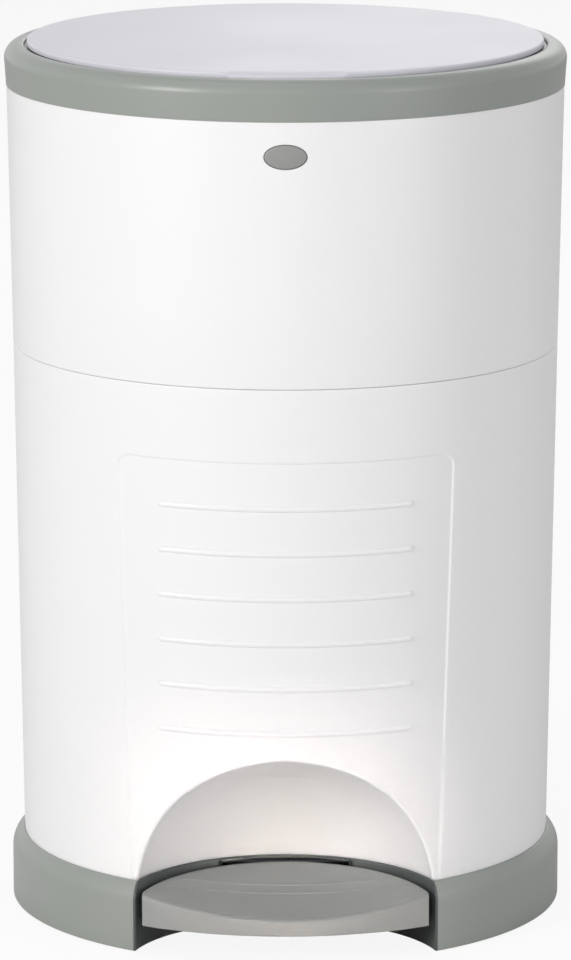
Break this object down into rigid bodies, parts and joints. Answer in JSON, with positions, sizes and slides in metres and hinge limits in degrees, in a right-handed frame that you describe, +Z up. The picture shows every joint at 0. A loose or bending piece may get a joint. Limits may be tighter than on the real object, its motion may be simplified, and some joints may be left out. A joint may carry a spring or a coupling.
{
  "type": "nappy bin",
  "caption": "Pedal-operated round nappy bin with a hinged lid in a grey rim, tilting upper section, liner hopper with trap doors and a domed toe recess over a dished pedal.",
  "frame": {"origin": "bottom centre on the axis of the bin, at the floor", "axes": "+Z up, -Y to the front (pedal and button), +X to the right seen from the front"},
  "size_m": [0.368, 0.368, 0.5778],
  "materials": {
    "white_plastic": "satin moulded",
    "lid_plastic": "satin moulded",
    "grey_plastic": "satin moulded",
    "inner_plastic": "fine matt",
    "flap_plastic": "fine matt",
    "rubber": "matt",
    "film": "pleated film",
    "steel": "zinc plated"
  },
  "bodies": {
    "bin_body": {"lower_housing": "white_plastic", "base_ring": "grey_plastic", "rubber_feet": "rubber", "base_screws": "steel", "pedal_pin": "steel", "pedal_spring": "steel", "lower_rod_guides": "inner_plastic", "rod_cover": "inner_plastic", "strike_bracket": "steel", "strike_screws": "steel", "body_hinge_pin": "steel"},
    "pedal": {"pedal": "grey_plastic", "pedal_lever": "steel", "lever_screws": "steel"},
    "lower_rod": {"lower_pushrod": "steel"},
    "top_section": {"upper_housing": "white_plastic", "top_rim": "grey_plastic", "rim_bumpers": "rubber", "lid_pin": "steel", "hopper": "inner_plastic", "hopper_screws": "steel", "guide_ring": "grey_plastic", "cassette_tray": "inner_plastic", "cassette_film": "film", "trap_frame": "inner_plastic", "trap_screws": "steel", "trap_pins": "steel", "trap_springs": "steel", "upper_rod_guide": "inner_plastic", "latch_pin": "steel", "latch_spring": "steel", "cutter_body": "flap_plastic", "cutter_blade": "steel"},
    "lid": {"lid": "lid_plastic", "lid_seal": "rubber"},
    "upper_rod": {"upper_pushrod": "steel"},
    "button": {"release_button": "grey_plastic"},
    "latch": {"latch_lever": "inner_plastic"},
    "flap_left": {"trap_flap_left": "flap_plastic"},
    "flap_right": {"trap_flap_right": "flap_plastic"}
  },
  "joints": [
    {"name": "pedal_press", "type": "hinge", "parent": "bin_body", "child": "pedal", "pos_m": [0, -0.04, 0.03], "axis": [1, 0, 0], "range_deg": [0, 7], "stiffness_Nm_per_rad": 6, "springref_deg": -20.05},
    {"name": "lower_rod_rise", "type": "slide", "parent": "bin_body", "child": "lower_rod", "axis": [0, 0, 1], "range_m": [0, 0.024]},
    {"name": "top_tilt", "type": "hinge", "parent": "bin_body", "child": "top_section", "pos_m": [0, 0.178, 0.3764], "axis": [-1, 0, 0], "range_deg": [0, 95]},
    {"name": "lid_open", "type": "hinge", "parent": "top_section", "child": "lid", "pos_m": [0, 0.168, 0.5707], "axis": [-1, 0, 0], "range_deg": [0, 80.5]},
    {"name": "upper_rod_rise", "type": "slide", "parent": "top_section", "child": "upper_rod", "axis": [0, 0, 1], "range_m": [0, 0.024]},
    {"name": "button_push", "type": "slide", "parent": "top_section", "child": "button", "axis": [0, 1, 0], "range_m": [0, 0.003], "stiffness_N_per_m": 600, "springref_m": -0.004},
    {"name": "latch_swing", "type": "hinge", "parent": "top_section", "child": "latch", "pos_m": [0, -0.1675, 0.45], "axis": [-1, 0, 0], "range_deg": [0, 2.6]},
    {"name": "flap_left_swing", "type": "hinge", "parent": "top_section", "child": "flap_left", "pos_m": [-0.082, 0, 0.464], "axis": [0, 1, 0], "range_deg": [0, 78], "stiffness_Nm_per_rad": 0.15, "springref_deg": -68.75},
    {"name": "flap_right_swing", "type": "hinge", "parent": "top_section", "child": "flap_right", "pos_m": [0.082, 0, 0.464], "axis": [0, -1, 0], "range_deg": [0, 78], "stiffness_Nm_per_rad": 0.15, "springref_deg": -68.75}
  ],
  "couplings": [
    {"joint": "lower_rod_rise", "follows": "pedal_press", "m_per_rad": 0.19277},
    {"joint": "upper_rod_rise", "follows": "pedal_press", "m_per_rad": 0.19277},
    {"joint": "lid_open", "follows": "pedal_press", "ratio": 11.429},
    {"joint": "latch_swing", "follows": "button_push", "rad_per_m": 13.193}
  ]
}
